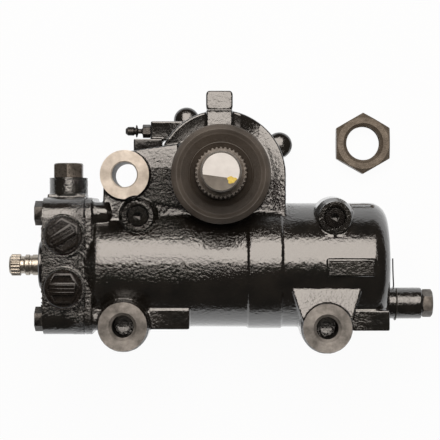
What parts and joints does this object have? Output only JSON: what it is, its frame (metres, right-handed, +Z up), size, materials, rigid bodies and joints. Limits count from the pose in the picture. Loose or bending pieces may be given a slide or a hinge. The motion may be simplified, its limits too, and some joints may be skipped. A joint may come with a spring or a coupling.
{
  "type": "steering gearbox",
  "caption": "Hydraulic recirculating-ball steering gearbox whose input shaft drives a rack piston and a splined output shaft.",
  "frame": {"origin": "on the floor under the middle of the whole, with the gearbox on its back", "axes": "+Z up along the output shaft, +X along the piston from the input shaft to the closed end, +Y from the piston to the output shaft"},
  "size_m": [0.4418, 0.2667, 0.2425],
  "materials": {
    "black_paint": "glossy paint over rough casting",
    "machined_steel": "machined",
    "dark_steel": "blackened",
    "rubber": "matte",
    "black_plastic": "semi-gloss",
    "bronze": "machined"
  },
  "bodies": {
    "gearbox_case": {"housing": "black_paint", "valve_housing": "black_paint", "valve_end_cover": "black_paint", "valve_bolt_1": "dark_steel", "valve_bolt_2": "dark_steel", "valve_bolt_3": "dark_steel", "valve_bolt_4": "dark_steel", "port_plug_upper": "black_plastic", "port_plug_lower": "black_plastic", "relief_plug": "dark_steel", "worm_bearing_retainer": "dark_steel", "worm_bearing": "machined_steel", "input_seal": "rubber", "input_bearing": "machined_steel", "sector_bearing": "machined_steel", "sector_seal": "rubber", "dust_cap": "rubber", "side_cover": "black_paint", "sector_bush": "bronze", "side_cover_bolt_1": "dark_steel", "side_cover_bolt_2": "dark_steel", "side_cover_bolt_3": "dark_steel", "side_cover_bolt_4": "dark_steel", "adjuster_screw": "dark_steel", "adjuster_lock_nut": "dark_steel", "bore_plug_left": "dark_steel", "bore_plug_right": "dark_steel", "limiter_screw": "dark_steel", "limiter_seal_wire": "machined_steel", "bleed_screw": "dark_steel"},
    "output_shaft": {"sector_shaft": "machined_steel", "adjuster_retainer": "dark_steel"},
    "piston": {"rack_piston": "machined_steel", "ball_return_guide": "dark_steel", "balls": "machined_steel", "piston_seal": "black_plastic"},
    "worm": {"worm_shaft": "machined_steel", "valve_sleeve": "machined_steel", "torsion_bar": "machined_steel", "torsion_pin": "dark_steel"},
    "input": {"input_shaft": "machined_steel"},
    "nut": {"drop_arm_nut": "dark_steel"}
  },
  "joints": [
    {"name": "output_shaft_turn", "type": "hinge", "parent": "gearbox_case", "child": "output_shaft", "pos_m": [0.0001, 0.0475, 0.0865], "axis": [0, 0, 1], "range_deg": [-45, 45]},
    {"name": "piston_travel", "type": "slide", "parent": "gearbox_case", "child": "piston", "axis": [1, 0, 0], "range_m": [-0.0425, 0.0425]},
    {"name": "worm_turn", "type": "hinge", "parent": "gearbox_case", "child": "worm", "pos_m": [-0.0279, -0.0455, 0.0865], "axis": [1, 0, 0], "range_deg": [-901, 901]},
    {"name": "valve_twist", "type": "hinge", "parent": "worm", "child": "input", "pos_m": [-0.1499, -0.0455, 0.0865], "axis": [1, 0, 0], "range_deg": [-4, 4], "stiffness_Nm_per_rad": 5},
    {"name": "nut_lift", "type": "slide", "parent": "gearbox_case", "child": "nut", "axis": [0, 0, 1], "range_m": [0, 0.12]}
  ],
  "couplings": [
    {"joint": "piston_travel", "follows": "output_shaft_turn", "m_per_rad": 0.054},
    {"joint": "worm_turn", "follows": "output_shaft_turn", "ratio": -20}
  ]
}
